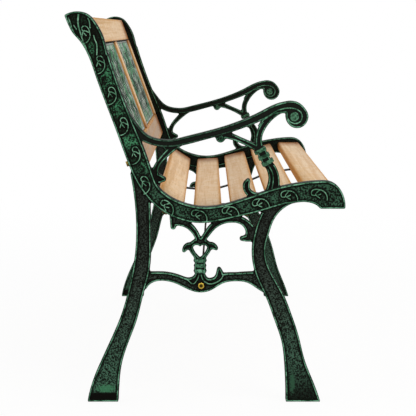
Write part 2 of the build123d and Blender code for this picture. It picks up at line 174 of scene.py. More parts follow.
# Steps round a ring, a turn of a spiral or a rosette
round_steps = 16

# Heights between which the castings' paint changes: patches are even by the seat and thin at the crest, legs
# take more cover and a greener tone on the way down, the front foot keeps less green towards the floor, and
# the thinner members above the seat take a lighter black, a painted sheen
seat_heights = (470.0, 410.0)
crest_heights = (715.0, 650.0)
cover_heights = (320.0, 60.0)
tone_heights = (260.0, 70.0)
front_foot_dark_heights = (15.0, 95.0)
arm_sheen_heights = (430.0, 470.0)

# How far forward the front foot's loss of green is full, and how far from a casting's middle plane the
# band's face begins and the faces of the thinner members end
front_foot_dark_reach = 50.0
thin_levels = (12.8, 12.3)

# The thickest green, and the places on the feet where it is rubbed on: middle, half width, half height and
# strength
thick_green = "#44835D"
thick_rubs = [((-192, 26), 23.0, 10.0, 0.8), ((165, 38), 6.5, 26.0, 0.45)]

# Armrest, along which hands have rubbed the green off its rims: where that ends and where it is full
hand_rub_end = 130.0
hand_rub_full = 70.0

# How much the enamelled castings, the oiled wood, the panels and the black steel shine
enamel_specular = 0.02
wood_specular = 0.03
resin_specular = 0.03
steel_specular = 0.05

# How far in from a board's long edges their painted shade starts and is full
painted_edge_shade_reach = (8.5, 1.0)

# How far each board's colour goes from pale to greyish brown: its own tint, and on the bottom rail, far
# darker than the rest, painted shade of the arms and end frames over it
board_tints_and_shade = {
    "seat_slat_1": 0.0, "seat_slat_2": 0.15, "seat_slat_3": 0.25, "seat_slat_4": 0.1, "seat_slat_5": 0.15,
    # The bottom rail's value is painted shade
    "back_bottom_rail": 0.8, "back_top_rail": 0.1,
    "back_left_stile": 0.1, "back_middle_stile": 0.1, "back_right_stile": 0.1,
}

# Shift of the grain from board to board, least share of a normal that looks out of a board's broad face or
# of its joint with the panels, where a painted shadow lies, and least angle of a sharp edge
grain_shift = (0.0, 370.0, 190.0)
broad_share = 0.7
joint_shadow_share = 0.3
board_sharp_angle = 35.0

# Trellis panels of the back, which leans by the rake
back_rake = 20.0
trellis_pitch = 54.0
trellis_margin = 18.0
panel_bevel = 1.2
panel_bevel_steps = 2
panel_sharp_angle = 40.0
panel_tongue = 5.2
bead_radius = 2.4

# Rosettes on the trellis: radius, height, and rings as shares of both and of how far each notch draws in
rosette_radius = 8.5
rosette_height = 2.2
rosette_rings = ((1.0, 0.0, 0.0), (0.86, 0.55, 0.14), (0.45, 0.6, 0.0), (0.3, 1.0, 0.0))

# Floor: reach, depth below the feet, and the distances over which it goes from nearly to fully white
floor_reach = 60000.0
floor_drop = 0.3
floor_fade = (900.0, 3000.0)
floor_white = 0.93

# Share of the sky's light that falls on the bench, and the lamps: place, width and power
sky_share = 0.6
lamps = {
    "key": ((-2600, -1800, 3400), 2400, 60.0),
    "fill": ((-1800, 3000, 2400), 2600, 30.0),
    "far": ((3000, -1200, 3000), 2600, 38.0),
}
lamp_target = (0, 0, 400)

# Camera, where the photograph was taken from
camera_place = (-3532.0, -4.0, 708.7)
camera_pitch = 6.53
camera_lens = 135.0
camera_sensor = 36.0

# Middle plane of the left end frame, in metres
frame_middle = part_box("left_end_frame")[0].x + band_half * MM


def metres(sizes):
    """Sizes in millimetres, in metres."""
    return [size * MM for size in sizes]


def colour(hex_text):
    """A colour written as sRGB hex, as linear RGBA."""
    channels = [int(hex_text[i:i + 2], 16) / 255 for i in (1, 3, 5)]
    linear = [c / 12.92 if c <= 0.04045 else ((c + 0.055) / 1.055) ** 2.4 for c in channels]
    return (*linear, 1.0)


def per_metre(size):
    """The scale at which a texture's features are about size millimetres across."""
    return 1 / (size * MM)


def set_inputs(tree, node, inputs):
    """Give a node's inputs, by name or number, a value or a link to a socket."""
    for key, value in inputs.items():
        if isinstance(value, bpy.types.NodeSocket):
            tree.links.new(value, node.inputs[key])
        else:
            node.inputs[key].default_value = value


def add_node(tree, kind, inputs=None, **settings):
    """Add a node with its settings and its inputs."""
    node = tree.nodes.new(kind)
    for name, value in settings.items():
        setattr(node, name, value)
    set_inputs(tree, node, inputs or {})
    return node


def calc(tree, operation, *values):
    """The result of a sum on numbers or sockets."""
    return add_node(tree, "ShaderNodeMath", dict(enumerate(values)), operation=operation).outputs["Value"]


def product(tree, first, *others):
    """Shares multiplied together."""
    for other in others:
        first = calc(tree, "MULTIPLY", first, other)
    return first


def ramp(tree, value, start, full, low=0.0, high=1.0, kind="LINEAR"):
    """A share that goes straight from low to high while a value goes from start to full."""
    return add_node(tree, "ShaderNodeMapRange", {
        "Value": value, "From Min": start, "From Max": full, "To Min": low, "To Max": high},
        interpolation_type=kind).outputs["Result"]


def ease(tree, value, start, full, low=0.0, high=1.0):
    """A ramp with soft ends."""
    return ramp(tree, value, start, full, low, high, "SMOOTHSTEP")


def between(tree, share, first, second):
    """A number between two."""
    return add_node(tree, "ShaderNodeMix", {0: share, 2: first, 3: second}).outputs[0]


def layered(tree, shade, *layers):
    """A colour with others laid over it in turn, each as (share, colour), in sRGB hex or as sockets."""
    for share, tone in layers:
        first, second = (colour(end) if isinstance(end, str) else end for end in (shade, tone))
        shade = add_node(tree, "ShaderNodeMix", {0: share, 6: first, 7: second}, data_type="RGBA").outputs[2]
    return shade


def split(tree, vector):
    """The three parts of a vector."""
    return add_node(tree, "ShaderNodeSeparateXYZ", {0: vector}).outputs[:]


def on_vector(tree, operation, vector, *others):
    """The result of a sum on vectors, which is a vector or, for the length and the dot product, a number."""
    node = add_node(tree, "ShaderNodeVectorMath", {
        0: vector, **dict(enumerate(others, 1))}, operation=operation)
    return node.outputs["Value" if operation in ("LENGTH", "DOT_PRODUCT") else "Vector"]


def stored(tree, name, output="Fac"):
    """A value that the mesh carries."""
    return add_node(tree, "ShaderNodeAttribute", attribute_name=name).outputs[output]


def object_place(tree):
    """The place of a point in the bench's own frame."""
    return add_node(tree, "ShaderNodeTexCoord").outputs["Object"]


def surface_normal(tree):
    """The way that a face looks."""
    return add_node(tree, "ShaderNodeNewGeometry").outputs["Normal"]


def moved(tree, place, centre, **inputs):
    """A place measured from a centre given as (forward, up)."""
    forward, up = centre
    return add_node(tree, "ShaderNodeMapping", {
        "Vector": place, "Location": (0, forward * MM, -up * MM), **inputs}).outputs["Vector"]


def noise(tree, place, size, detail=2.0, **inputs):
    """Noise with features about size millimetres across, or of three sizes along the axes."""
    scale = 1.0
    if isinstance(size, tuple):
        place = add_node(tree, "ShaderNodeMapping", {
            "Vector": place, "Scale": [per_metre(length) for length in size]}).outputs["Vector"]
    else:
        scale = per_metre(size)
    return add_node(tree, "ShaderNodeTexNoise", {
        "Vector": place, "Scale": scale, "Detail": detail, **inputs}).outputs["Fac"]


def bump(tree, height, strength, depth):
    """A normal bent by a height; depth is in millimetres."""
    return add_node(tree, "ShaderNodeBump", {
        "Strength": strength, "Distance": depth * MM, "Height": height}).outputs["Normal"]


def emptied_tree(owner):
    """The emptied node tree of a material or a world."""
    owner.use_nodes = True
    owner.node_tree.nodes.clear()
    return owner.node_tree


def new_material(name):
    """An empty material and its tree."""
    material = bpy.data.materials.new(name)
    return material, emptied_tree(material)


def coated(material, shade, roughness, **finish):
    """A material finished with a shader of that colour and roughness; its shine, bent normal and share of
    metal may be given too."""
    tree = material.node_tree
    inputs = {"specular": "Specular IOR Level", "normal": "Normal", "metal": "Metallic"}
    shader = add_node(tree, "ShaderNodeBsdfPrincipled", {
        "Base Color": shade, "Roughness": roughness,
        **{inputs[name]: value for name, value in finish.items()}})
    add_node(tree, "ShaderNodeOutputMaterial", {"Surface": shader.outputs["BSDF"]})
    return material


def outlook(tree, along):
    """How far a face looks out from its end of the bench, and how far up."""
    normal = split(tree, surface_normal(tree))
    return product(tree, normal[0], calc(tree, "SIGN", along)), normal[2]


def cast_iron_ground():
    """Sand-cast iron under black enamel: pebbled, nearly black in the grooves, with green paint rubbed over
    the raised field so that the tops of the pebbles take it. On the band it lies in patches, evenly by the
    seat and thinly at the crest; on the legs it is greyer above and thicker towards the feet. Faces that
    look up take a grey-green painted sheen, and the black of the thinner members above the seat is lighter,
    a painted sheen too."""
    material, tree = new_material("black_enamelled_cast_iron")
    place = object_place(tree)
    along, back, height = split(tree, place)
    outward, upward = outlook(tree, along)
    pebble = noise(tree, place, size=3.2, Roughness=0.6)
    grit = noise(tree, place, size=2.7, Roughness=0.6)
    mottle = noise(tree, place, size=30)
    from_middle = calc(tree, "SUBTRACT", calc(tree, "ABSOLUTE", along), abs(frame_middle))
    thin = ramp(tree, calc(tree, "ABSOLUTE", from_middle), *metres(thin_levels))
    tops = ease(tree, between(tree, thin, pebble, grit), 0.43, 0.6)

    by_seat = ramp(tree, height, *metres(seat_heights))
    spread = between(tree, by_seat, ease(tree, mottle, 0.4, 0.62, low=0.15), 0.5)
    below_crest = ramp(tree, height, *metres(crest_heights), low=0.2)
    patches = product(tree, spread, below_crest, ramp(tree, outward, 0, 0.1, low=0.12))
    # The front foot keeps less green towards the floor
    in_front = ramp(tree, back, 0, -front_foot_dark_reach * MM)
    above_foot = ramp(tree, height, *metres(front_foot_dark_heights), low=0.12)
    down_leg = ramp(tree, height, *metres(cover_heights), low=0.32)
    leg_cover = product(tree, down_leg, between(tree, in_front, 1.0, above_foot))
    taken = product(tree, tops, between(tree, thin, patches, leg_cover))

    band_tone = layered(tree, thick_green, (by_seat, "#508064"))
    leg_tone = layered(tree, "#4D5A51", (ramp(tree, height, *metres(tone_heights)), "#486C58"))
    tone = layered(tree, band_tone, (thin, leg_tone))
    for centre, half_width, half_height, strength in thick_rubs:
        reach = (0, per_metre(half_width), per_metre(half_height))
        in_rub = on_vector(tree, "MULTIPLY", moved(tree, place, centre), reach)
        ragged = calc(tree, "MULTIPLY_ADD", pebble, -2.0, on_vector(tree, "LENGTH", in_rub))
        thick = ease(tree, ragged, 0.1, -0.6, high=strength)
        taken = calc(tree, "MAXIMUM", taken, thick)
        tone = layered(tree, tone, (thick, thick_green))
    # Painted sheen: faces that look up take some of the green tone, as if lit from above
    painted_top_sheen = ramp(tree, upward, 0.5, 0.95, high=0.3)
    green = calc(tree, "MAXIMUM", product(tree, taken, stored(tree, "field")), painted_top_sheen)
    # Painted sheen: the black of the thinner members above the seat is a little lighter
    painted_arm_sheen = product(tree, ramp(tree, height, *metres(arm_sheen_heights)), thin)
    return coated(
        material, layered(tree, "#100F0C", (painted_arm_sheen, "#191B17"), (green, tone)),
        ramp(tree, pebble, 0, 1, 0.4, 0.65), specular=enamel_specular,
        normal=bump(tree, pebble, strength=0.7, depth=0.4))


def rubbed_green_relief(name, thin_green, full_green, worn_share):
    """Verdigris-green paint rubbed over enamelled iron: it stays on the crests of the relief, worn through
    in places, thinner on the inner faces and where hands rest, and leaves the flanks nearly black. Where
    the relief looks up it is laid on as well, a painted highlight."""
    material, tree = new_material(name)
    place = object_place(tree)
    outward, upward = outlook(tree, split(tree, place)[0])
    # Crests that look out of the face take the rubbed green; parts that look up take it too, a painted
    # highlight
    facing = calc(tree, "MAXIMUM", calc(tree, "ABSOLUTE", outward), upward)
    wear = noise(tree, place, size=17, detail=4.0, Roughness=0.6)
    green = product(
        tree, ease(tree, facing, 0.4, 0.88),
        ease(tree, wear, 0.33, 0.58, low=1 - worn_share),
        ease(tree, noise(tree, place, size=4.5), 0.36, 0.5, low=0.25),
        ramp(tree, outward, -0.2, 0.2, low=0.75),
        ramp(tree, stored(tree, "bare"), 0, 1, 1.0, 0.35))
    tone = layered(tree, thin_green, (ramp(tree, wear, 0.35, 0.7), full_green))
    return coated(
        material, layered(tree, "#0A0A08", (green, tone)), roughness=0.45, specular=enamel_specular,
        normal=bump(tree, noise(tree, place, size=1.6), strength=0.4, depth=0.2))


def oiled_hardwood():
    """Planed pale hardwood under clear oil: fine straight grain along each board, short pores, pale flecks,
    faint lengthwise streaks and a tint of its own for each board, which on the bottom rail is painted shade.
    Painted shade turns the side faces and long edges golden, a painted shadow browns the ends, longest at
    the far end, where the end frames shade them, and a painted shadow lies in the joint where the top rail
    meets the panels."""
    material, tree = new_material("oiled_pale_hardwood")
    grain = stored(tree, "grain", "Vector")
    along, across, _ = split(tree, stored(tree, "board_place", "Vector"))
    tint = stored(tree, "tint")
    streak = noise(tree, grain, size=(420, 9, 14), detail=4.0, Distortion=0.6)
    fibre = noise(tree, grain, size=(60, 1.1, 1.1), detail=3.0)
    fleck = noise(tree, grain, size=(30, 17, 17), detail=3.0, Roughness=0.6)
    from_side = calc(tree, "SUBTRACT", stored(tree, "half_width"), calc(tree, "ABSOLUTE", across))
    # Painted shade: golden along the long edges of the broad faces and on the side and end faces
    side = ease(tree, from_side, *metres(painted_edge_shade_reach), high=0.75)
    painted_edge_shade = calc(tree, "MAXIMUM", side, product(tree, stored(tree, "edge"), 0.85))
    # Painted shadow of the end frames over the board's ends, longer at the far end and broken up by the
    # flecks
    from_end = calc(tree, "DIVIDE", along, stored(tree, "half_length"))
    ends = calc(tree, "MAXIMUM", ease(tree, from_end, 0.72, 0.97), ease(tree, from_end, -0.88, -0.98))
    painted_end_shadow = product(tree, ends, ramp(tree, fleck, 0.3, 0.6, 0.6, 1.0))
    shade = layered(
        tree, layered(tree, "#E3C094", (tint, "#A48F7E")),
        (ease(tree, fleck, 0.4, 0.65, high=0.6), layered(tree, "#EAD2B2", (tint, "#B8A592"))),
        (ease(tree, streak, 0.42, 0.72, high=0.55), "#C4945E"),
        (ease(tree, fibre, 0.56, 0.74, high=0.5), "#A97B4C"),
        (painted_edge_shade, "#C68C45"), (painted_end_shadow, "#89501D"), (stored(tree, "joint"), "#23170D"))
    return coated(
        material, shade, ramp(tree, fibre, 0, 1, 0.42, 0.6), specular=wood_specular,
        normal=bump(tree, fibre, strength=0.35, depth=0.15))


def moulded_panel():
    """Moulded resin trellis with a dry-brushed finish: grey and green streaks on its faces, and dark walls
    between the bars, painted shade of the gaps between them."""
    material, tree = new_material("dry_brushed_resin")
    place = object_place(tree)
    rake = radians(back_rake)
    level = on_vector(tree, "DOT_PRODUCT", surface_normal(tree), (0, -cos(rake), sin(rake)))
    # The faces of the bars take the brushed colours; the walls between the bars are dark, painted shade
    out_of_wall_shade = ease(tree, calc(tree, "ABSOLUTE", level), 0.3, 0.8)
    cloud = noise(tree, place, size=70, detail=4.0, Roughness=0.6)
    streak = noise(tree, place, size=(45, 36, 36), detail=4.0, Roughness=0.65)
    bristle = noise(tree, place, size=(28, 1.8, 1.8), detail=3.0)
    face = layered(
        tree, "#68A67E", (ease(tree, cloud, 0.42, 0.58), "#ABB7AD"),
        (ease(tree, bristle, 0.5, 0.68, high=0.5), "#33523F"),
        (ease(tree, streak, 0.46, 0.6, high=0.85), "#26352B"))
    return coated(
        material, layered(tree, "#1C2620", (out_of_wall_shade, face)), roughness=0.5, specular=resin_specular,
        normal=bump(tree, bristle, strength=0.5, depth=0.3))


def highlit_bead():
    """The panel's border bead, the same resin in pale grey, a painted highlight where the bead catches the
    light.
    """
    material, tree = new_material("worn_grey_resin")
    wear = noise(tree, object_place(tree), size=25, detail=4.0)
    # The pale grey is a painted highlight
    return coated(
        material, layered(tree, "#A9AFAB", (ease(tree, wear, 0.4, 0.65), "#6F8276")), roughness=0.45,
        specular=resin_specular, normal=bump(tree, wear, strength=0.3, depth=0.2))


def painted_steel():
    """Mild steel under satin black paint, with the slight orange peel that spraying leaves."""
    material, tree = new_material("satin_black_steel")
    place = object_place(tree)
    scuff = noise(tree, place, size=22, detail=4.0)
    return coated(
        material, layered(tree, "#121111", (scuff, "#242221")), ramp(tree, scuff, 0, 1, 0.28, 0.55),
        specular=steel_specular, normal=bump(tree, noise(tree, place, size=1.5), strength=0.25, depth=0.1))


def yellow_zinc(name, bright_film, dull_film):
    """Zinc-plated steel with a yellow passivation: brassy, a little iridescent from place to place, and
    dark in and round the sockets of the bolts through the bosses, a painted shade."""
    material, tree = new_material(name)
    place = object_place(tree)
    film = noise(tree, place, size=5, detail=3.0)
    away = on_vector(tree, "LENGTH", moved(tree, place, boss_place, Scale=(0, 1, 1)))
    # Painted shade in and round the bolt's socket
    painted_socket_shade = ease(tree, away, socket_shade_reach * MM, socket_reach * MM, high=0.92)
    return coated(
        material, layered(tree, bright_film, (film, dull_film), (painted_socket_shade, "#1E150A")),
        ramp(tree, film, 0, 1, 0.2, 0.45), metal=1.0)


iron = cast_iron_ground()
rim_paint = rubbed_green_relief("worn_green_rims", "#3A6F50", "#80BA98", 0.4)
vine_paint = rubbed_green_relief("rubbed_green_vines", "#528A68", "#86B898", 0.25)
collar_paint = rubbed_green_relief("thin_green_collar", "#2C523C", "#5A8C6C", 0.6)
hardwood = oiled_hardwood()
resin = moulded_panel()
bead_highlight_resin = highlit_bead()
black_steel = painted_steel()
bolt_zinc = yellow_zinc("yellow_zinc_plate", "#D8BC4E", "#A98A35")
screw_zinc = yellow_zinc("dull_yellow_zinc_plate", "#A08A45", "#6E5A2A")


def on_frame(place, half):
    """A point of the left end frame, half millimetres out from its middle plane, in metres."""
    forward, up = place
    return Vector((frame_middle - half * MM, -forward * MM, up * MM))


def add_object(name, data):
    """Put a mesh, lamp or camera in the scene as an object of its own."""
    piece = bpy.data.objects.new(name, data)
    bpy.context.scene.collection.objects.link(piece)
    return piece


def made_plain(piece):
    """The mesh that an object's modifiers make; the object goes."""
    graph = bpy.context.evaluated_depsgraph_get()
    mesh = bpy.data.meshes.new_from_object(
        piece.evaluated_get(graph), preserve_all_data_layers=True, depsgraph=graph)
    bpy.data.objects.remove(piece)
    return mesh


def new_mesh(name, points, edges=(), faces=(), **values):
    """A mesh with the given numbers kept at its points."""
    mesh = bpy.data.meshes.new(name)
    mesh.from_pydata(points, edges, faces)
    for label, numbers in values.items():
        mesh.attributes.new(label, "FLOAT", "POINT").data.foreach_set("value", numbers)
    return mesh


def as_mesh(name, shape):
    """A finished shape as a mesh."""
    mesh = bpy.data.meshes.new(name)
    shape.to_mesh(mesh)
    shape.free()
    return mesh


def merged_copy(node):
    """A copy of a node's mesh with its loose triangles joined."""
    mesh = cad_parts[node].data.copy()
    shape = bmesh.new()
    shape.from_mesh(mesh)
    bmesh.ops.remove_doubles(shape, verts=shape.verts, dist=merge_distance * MM)
    shape.to_mesh(mesh)
    shape.free()
    mesh.materials.clear()
    return mesh


def line_mesh(name, lines):
    """A mesh of bare lines; each is (points in metres, radius of its two ends in metres, closed or not)."""
    points = []
    radii = []
    edges = []
    for places, (start_radius, end_radius), closed in lines:
        first = len(points)
        for i, place in enumerate(places):
            share = i / (len(places) - 1)
            points.append(place)
            radii.append(start_radius + (end_radius - start_radius) * share)
            if i:
                edges.append((first + i - 1, first + i))
        if closed:
            edges.append((len(points) - 1, first))
    return new_mesh(name, points, edges, radius=radii)


def new_tree(name, inputs):
    """A geometry tree with named inputs; its input sockets by name come back as well."""
    tree = bpy.data.node_groups.new(name, "GeometryNodeTree")
    tree.interface.new_socket("Geometry", in_out="INPUT", socket_type="NodeSocketGeometry")
    for label, kind in inputs.items():
        tree.interface.new_socket(label, in_out="INPUT", socket_type=kind)
    tree.interface.new_socket("Geometry", in_out="OUTPUT", socket_type="NodeSocketGeometry")
    return tree, add_node(tree, "NodeGroupInput").outputs


def run_tree(tree, name, mesh, values):
    """The plain mesh that a tree makes of a mesh, with its named inputs set."""
    piece = add_object(name, mesh)
    modifier = piece.modifiers.new(tree.name, "NODES")
    modifier.node_group = tree
    for item in tree.interface.items_tree:
        if item.name in values:
            modifier[item.identifier] = values[item.name]
    made = made_plain(piece)
    made.name = name
    return made


def end_tree(tree, geometry, material):
    """Close a tree: instances made real, then the material."""
    real = add_node(tree, "GeometryNodeRealizeInstances", {"Geometry": geometry})
    painted = add_node(tree, "GeometryNodeSetMaterial", {
        "Geometry": real.outputs["Geometry"], "Material": material})
    add_node(tree, "NodeGroupOutput", {"Geometry": painted.outputs["Geometry"]})


def shape_of(tree, helper):
    """The geometry of a helper object."""
    return add_node(tree, "GeometryNodeObjectInfo", {"Object": helper}).outputs["Geometry"]


ridge_inputs = {
    "Step": "NodeSocketFloat", "Sides": "NodeSocketInt", "Flowing": "NodeSocketBool",
    "Material": "NodeSocketMaterial"}
ridge_values = {"Step": ridge_step * MM, "Sides": ridge_sides, "Flowing": True, "Material": vine_paint}


def add_ridges(tree, given, lines):
    """Nodes that turn lines into round ridges of the radius stored on them; flowing ones curve through
    their points."""
    curve = add_node(tree, "GeometryNodeMeshToCurve", {"Mesh": lines})
    smooth = add_node(tree, "GeometryNodeCurveSplineType", {
        "Curve": curve.outputs["Curve"], "Selection": given["Flowing"]}, spline_type="CATMULL_ROM")
    even = add_node(tree, "GeometryNodeResampleCurve", {
        "Curve": smooth.outputs["Curve"], "Length": given["Step"]}, mode="LENGTH")
    profile = add_node(tree, "GeometryNodeCurvePrimitiveCircle", {
        "Resolution": given["Sides"], "Radius": 1.0})
    tube = add_node(tree, "GeometryNodeCurveToMesh", {
        "Curve": even.outputs["Curve"], "Profile Curve": profile.outputs["Curve"], "Fill Caps": True,
        "Scale": add_node(tree, "GeometryNodeInputRadius").outputs["Radius"]})
    rounded = add_node(tree, "GeometryNodeSetShadeSmooth", {"Geometry": tube.outputs["Mesh"]})
    end_tree(tree, rounded.outputs[0], given["Material"])


def ridge_mesh(name, lines, **values):
    """Ridges along given lines, such as the rims of the casting."""
    tree, given = new_tree("cast ridges", ridge_inputs)
    add_ridges(tree, given, given["Geometry"])
    return run_tree(tree, name, lines, {**ridge_values, **values})


def vine_tree():
    """One tendril at every place along the band, turned to follow it, on the outer face."""
    tree, given = new_tree("vine along the band", {"Tendril": "NodeSocketObject", **ridge_inputs})
    band = add_node(tree, "GeometryNodeMeshToCurve", {"Mesh": given["Geometry"]})
    places = add_node(tree, "GeometryNodeCurveToPoints", {"Curve": band.outputs["Curve"]}, mode="EVALUATED")
    turn = add_node(tree, "FunctionNodeAxesToRotation", {
        "Primary Axis": places.outputs["Tangent"], "Secondary Axis": (-1.0, 0.0, 0.0)},
        primary_axis="X", secondary_axis="Z")
    vines = add_node(tree, "GeometryNodeInstanceOnPoints", {
        "Points": places.outputs["Points"], "Instance": shape_of(tree, given["Tendril"]),
        "Rotation": turn.outputs["Rotation"]})
    lines = add_node(tree, "GeometryNodeRealizeInstances", {"Geometry": vines.outputs["Instances"]})
    add_ridges(tree, given, lines.outputs["Geometry"])
    return tree


def skin_tree():
    """The casting's ground: a pebbled field raised between rims and other relief, on the members that the
    casting marks as stippled. How far a place belongs to the field is kept for the paint."""
    tree, given = new_tree("cast ground", {
        "Casting": "NodeSocketObject", "Rims": "NodeSocketObject", "Relief": "NodeSocketObject",
        "Pebble size": "NodeSocketFloat", "Pebble height": "NodeSocketFloat",
        "Field rise": "NodeSocketFloat", "Material": "NodeSocketMaterial"})
    place = add_node(tree, "GeometryNodeInputPosition").outputs["Position"]
    normal = add_node(tree, "GeometryNodeInputNormal").outputs["Normal"]
    shares = []
    for label, clearance in (("Rims", rim_clearance), ("Relief", relief_clearance)):
        near = add_node(tree, "GeometryNodeProximity", {
            0: shape_of(tree, given[label])}, target_element="FACES")
        shares.append(ease(tree, near.outputs["Distance"], *metres(clearance)))
    stippled = add_node(tree, "GeometryNodeInputNamedAttribute", {"Name": "stippled"}, data_type="FLOAT")
    shares.append(add_node(tree, "GeometryNodeSampleNearestSurface", {
        "Mesh": shape_of(tree, given["Casting"]), "Value": stippled.outputs["Attribute"]},
        data_type="FLOAT").outputs["Value"])
    _, back, height = split(tree, place)
    lifted = calc(tree, "ADD", height, ramp(tree, back, 0, -1, high=front_foot_lift))
    shares.append(ease(tree, lifted, *metres(foot_field)))
    shares.append(ease(tree, calc(tree, "ABSOLUTE", split(tree, normal)[0]), *field_facing))
    field = product(tree, *shares)
    pebbles = add_node(tree, "ShaderNodeTexNoise", {
        "Vector": place, "Scale": calc(tree, "DIVIDE", 1.0, given["Pebble size"]), "Detail": 1.0})
    relief = calc(tree, "MULTIPLY_ADD", pebbles.outputs["Fac"], given["Pebble height"], given["Field rise"])
    offset = add_node(tree, "ShaderNodeVectorMath", {
        0: normal, "Scale": product(tree, field, relief)}, operation="SCALE")
    raised = add_node(tree, "GeometryNodeSetPosition", {
        "Geometry": given["Geometry"], "Offset": offset.outputs["Vector"]})
    kept = add_node(tree, "GeometryNodeStoreNamedAttribute", {
        "Geometry": raised.outputs["Geometry"], "Name": "field", "Value": field}, data_type="FLOAT")
    end_tree(tree, kept.outputs["Geometry"], given["Material"])
    return tree


def lies_on(place, half):
    """Whether a point lies on a flat face of a member of that half thickness."""
    return abs(abs(place.x - frame_middle) - half * MM) < level_slack * MM


def drop_stubs(lines):
    """Take out the short rims that are left where members of the casting meet, and trim the ends of the
    others."""
    shape = bmesh.new()
    shape.from_mesh(lines)
    waiting = set(shape.edges)
    stubs = []
    while waiting:
        chain = [waiting.pop()]
        for edge in chain:
            near = {other for vert in edge.verts for other in vert.link_edges} & waiting
            waiting -= near
            chain.extend(near)
        if sum(edge.calc_length() for edge in chain) < shortest_rim * MM:
            stubs.extend(chain)
    bmesh.ops.delete(shape, geom=stubs, context="EDGES")
    ends = []
    for vert in shape.verts:
        if len(vert.link_edges) != 1:
            continue
        inward = vert.link_edges[0].other_vert(vert).co - vert.co
        if inward.length < 2 * rim_trim * MM:
            ends.append(vert)
        else:
            vert.co += inward.normalized() * rim_trim * MM
    bmesh.ops.delete(shape, geom=ends, context="VERTS")
    shape.to_mesh(lines)
    shape.free()


def rim_lines(mesh):
    """Lines just inside the outer edges of the casting's flat faces, where its raised rims run. Each point
    carries its radius and how bare hands have rubbed it."""
    shape = bmesh.new()
    shape.from_mesh(mesh)
    shape.normal_update()
    boss = on_frame(boss_place, 0).yz
    walls = {}
    level = {}
    edges = []
    for edge in shape.edges:
        flat, wall = sorted(edge.link_faces, key=lambda face: -abs(face.normal.x))
        middle = (edge.verts[0].co + edge.verts[1].co) / 2
        is_corner = abs(flat.normal.x) > flat_share and abs(wall.normal.x) < wall_share
        is_outer = (wall.calc_center_median() - middle).dot(flat.normal) < 0
        on_casting = abs(middle.x - frame_middle) < (band_half + level_slack) * MM
        on_boss = (middle.yz - boss).length < boss_reach * MM
        if not (is_corner and is_outer and on_casting) or on_boss:
            continue
        edges.append([vert.index for vert in edge.verts])
        for vert in edge.verts:
            walls.setdefault(vert.index, []).append(wall.normal.copy())
            level[vert.index] = flat.normal.copy()
    shape.verts.ensure_lookup_table()
    numbers = {index: i for i, index in enumerate(walls)}
    points = []
    radii = []
    bareness = []
    for index, normals in walls.items():
        corner = shape.verts[index].co
        outward = sum(normals, Vector()) / len(normals)
        outward.x = 0
        on_arm = lies_on(corner, arm_half) or lies_on(corner, support_half)
        radius = arm_rim_radius if on_arm else rim_radius
        inset = outward / max(outward.length_squared, sharpest_corner) * rim_inset * MM
        points.append(corner - inset - level[index] * (radius + rim_sink) * MM)
        radii.append(radius * MM)
        forward = -corner.y / MM
        hands = (hand_rub_end - forward) / (hand_rub_end - hand_rub_full)
        bareness.append(min(max(hands, 0.0), 1.0) if lies_on(corner, arm_half) else 0.0)
    shape.free()
    edges = [[numbers[index] for index in edge] for edge in edges]
    lines = new_mesh("rim_lines", points, edges, radius=radii, bare=bareness)
    drop_stubs(lines)
    return lines


def ring_round(centre, half_width, half_thickness):
    """A rounded level loop round an upright member."""
    forward, up = centre
    loop = []
    for step in range(round_steps):
        turn = 2 * pi * (step + 0.5) / round_steps
        across = half_width * copysign(abs(cos(turn)) ** ring_power, cos(turn))
        out = half_thickness * copysign(abs(sin(turn)) ** ring_power, sin(turn))
        loop.append(on_frame((forward + across, up), out))
    return loop


def eye_spiral(centre, reach, half):
    """Points of a spiral that winds in to the middle of an eye."""
    points = []
    steps = int(round_steps * eye_turns)
    for step in range(steps + 1):
        share = step / steps
        turn = 2 * pi * eye_turns * share
        out = reach + (eye_core - reach) * share
        points.append(on_frame((centre[0] + out * sin(turn), centre[1] + out * cos(turn)), half))
    return points


def collar_and_eyes():
    """The collar's flat-ended bands and the domes of the scroll's and the ball's eyes, on both faces."""
    shape = bmesh.new()
    for centre, half_width in collar_bands:
        turn = Matrix.Rotation(radians(-collar_slope), 4, "X")
        size = Matrix.Diagonal((2 * arm_half * MM, 2 * half_width * MM, 2 * collar_half_height * MM, 1))
        bmesh.ops.create_cube(shape, matrix=Matrix.Translation(on_frame(centre, 0)) @ turn @ size)
    bmesh.ops.bevel(
        shape, geom=shape.edges[:], offset=collar_edge * MM, segments=collar_edge_steps, profile=0.5,
        affect="EDGES")
    for centre, reach, half in eyes:
        for side in (-1, 1):
            size = Matrix.Diagonal((eye_height * MM, reach * MM, reach * MM, 1))
            place = on_frame(centre, side * (half - eye_height))
            bmesh.ops.create_uvsphere(
                shape, u_segments=eye_steps, v_segments=eye_rings, radius=1.0,
                matrix=Matrix.Translation(place) @ size)
    for face in shape.faces:
        face.smooth = True
    mesh = as_mesh("collar_and_eyes", shape)
    mesh.materials.append(collar_paint)
    return mesh


def even_line(points, radius, closed=False):
    """A line of one radius in millimetres, for line_mesh."""
    return points, (radius * MM, radius * MM), closed


def leaf_lines():
    """Flutes of the crest's leaf and leaves over the stretcher's boss."""
    lines = []
    for places, start_radius, end_radius in crest_flutes:
        half = band_half - max(start_radius, end_radius)
        points = [on_frame(place, half) for place in places]
        lines.append((points, (start_radius * MM, end_radius * MM), False))
    for places in stretcher_leaves:
        points = [on_frame(place, ornament_half - vine_radius) for place in places]
        lines.append(even_line(points, vine_radius))
    return lines


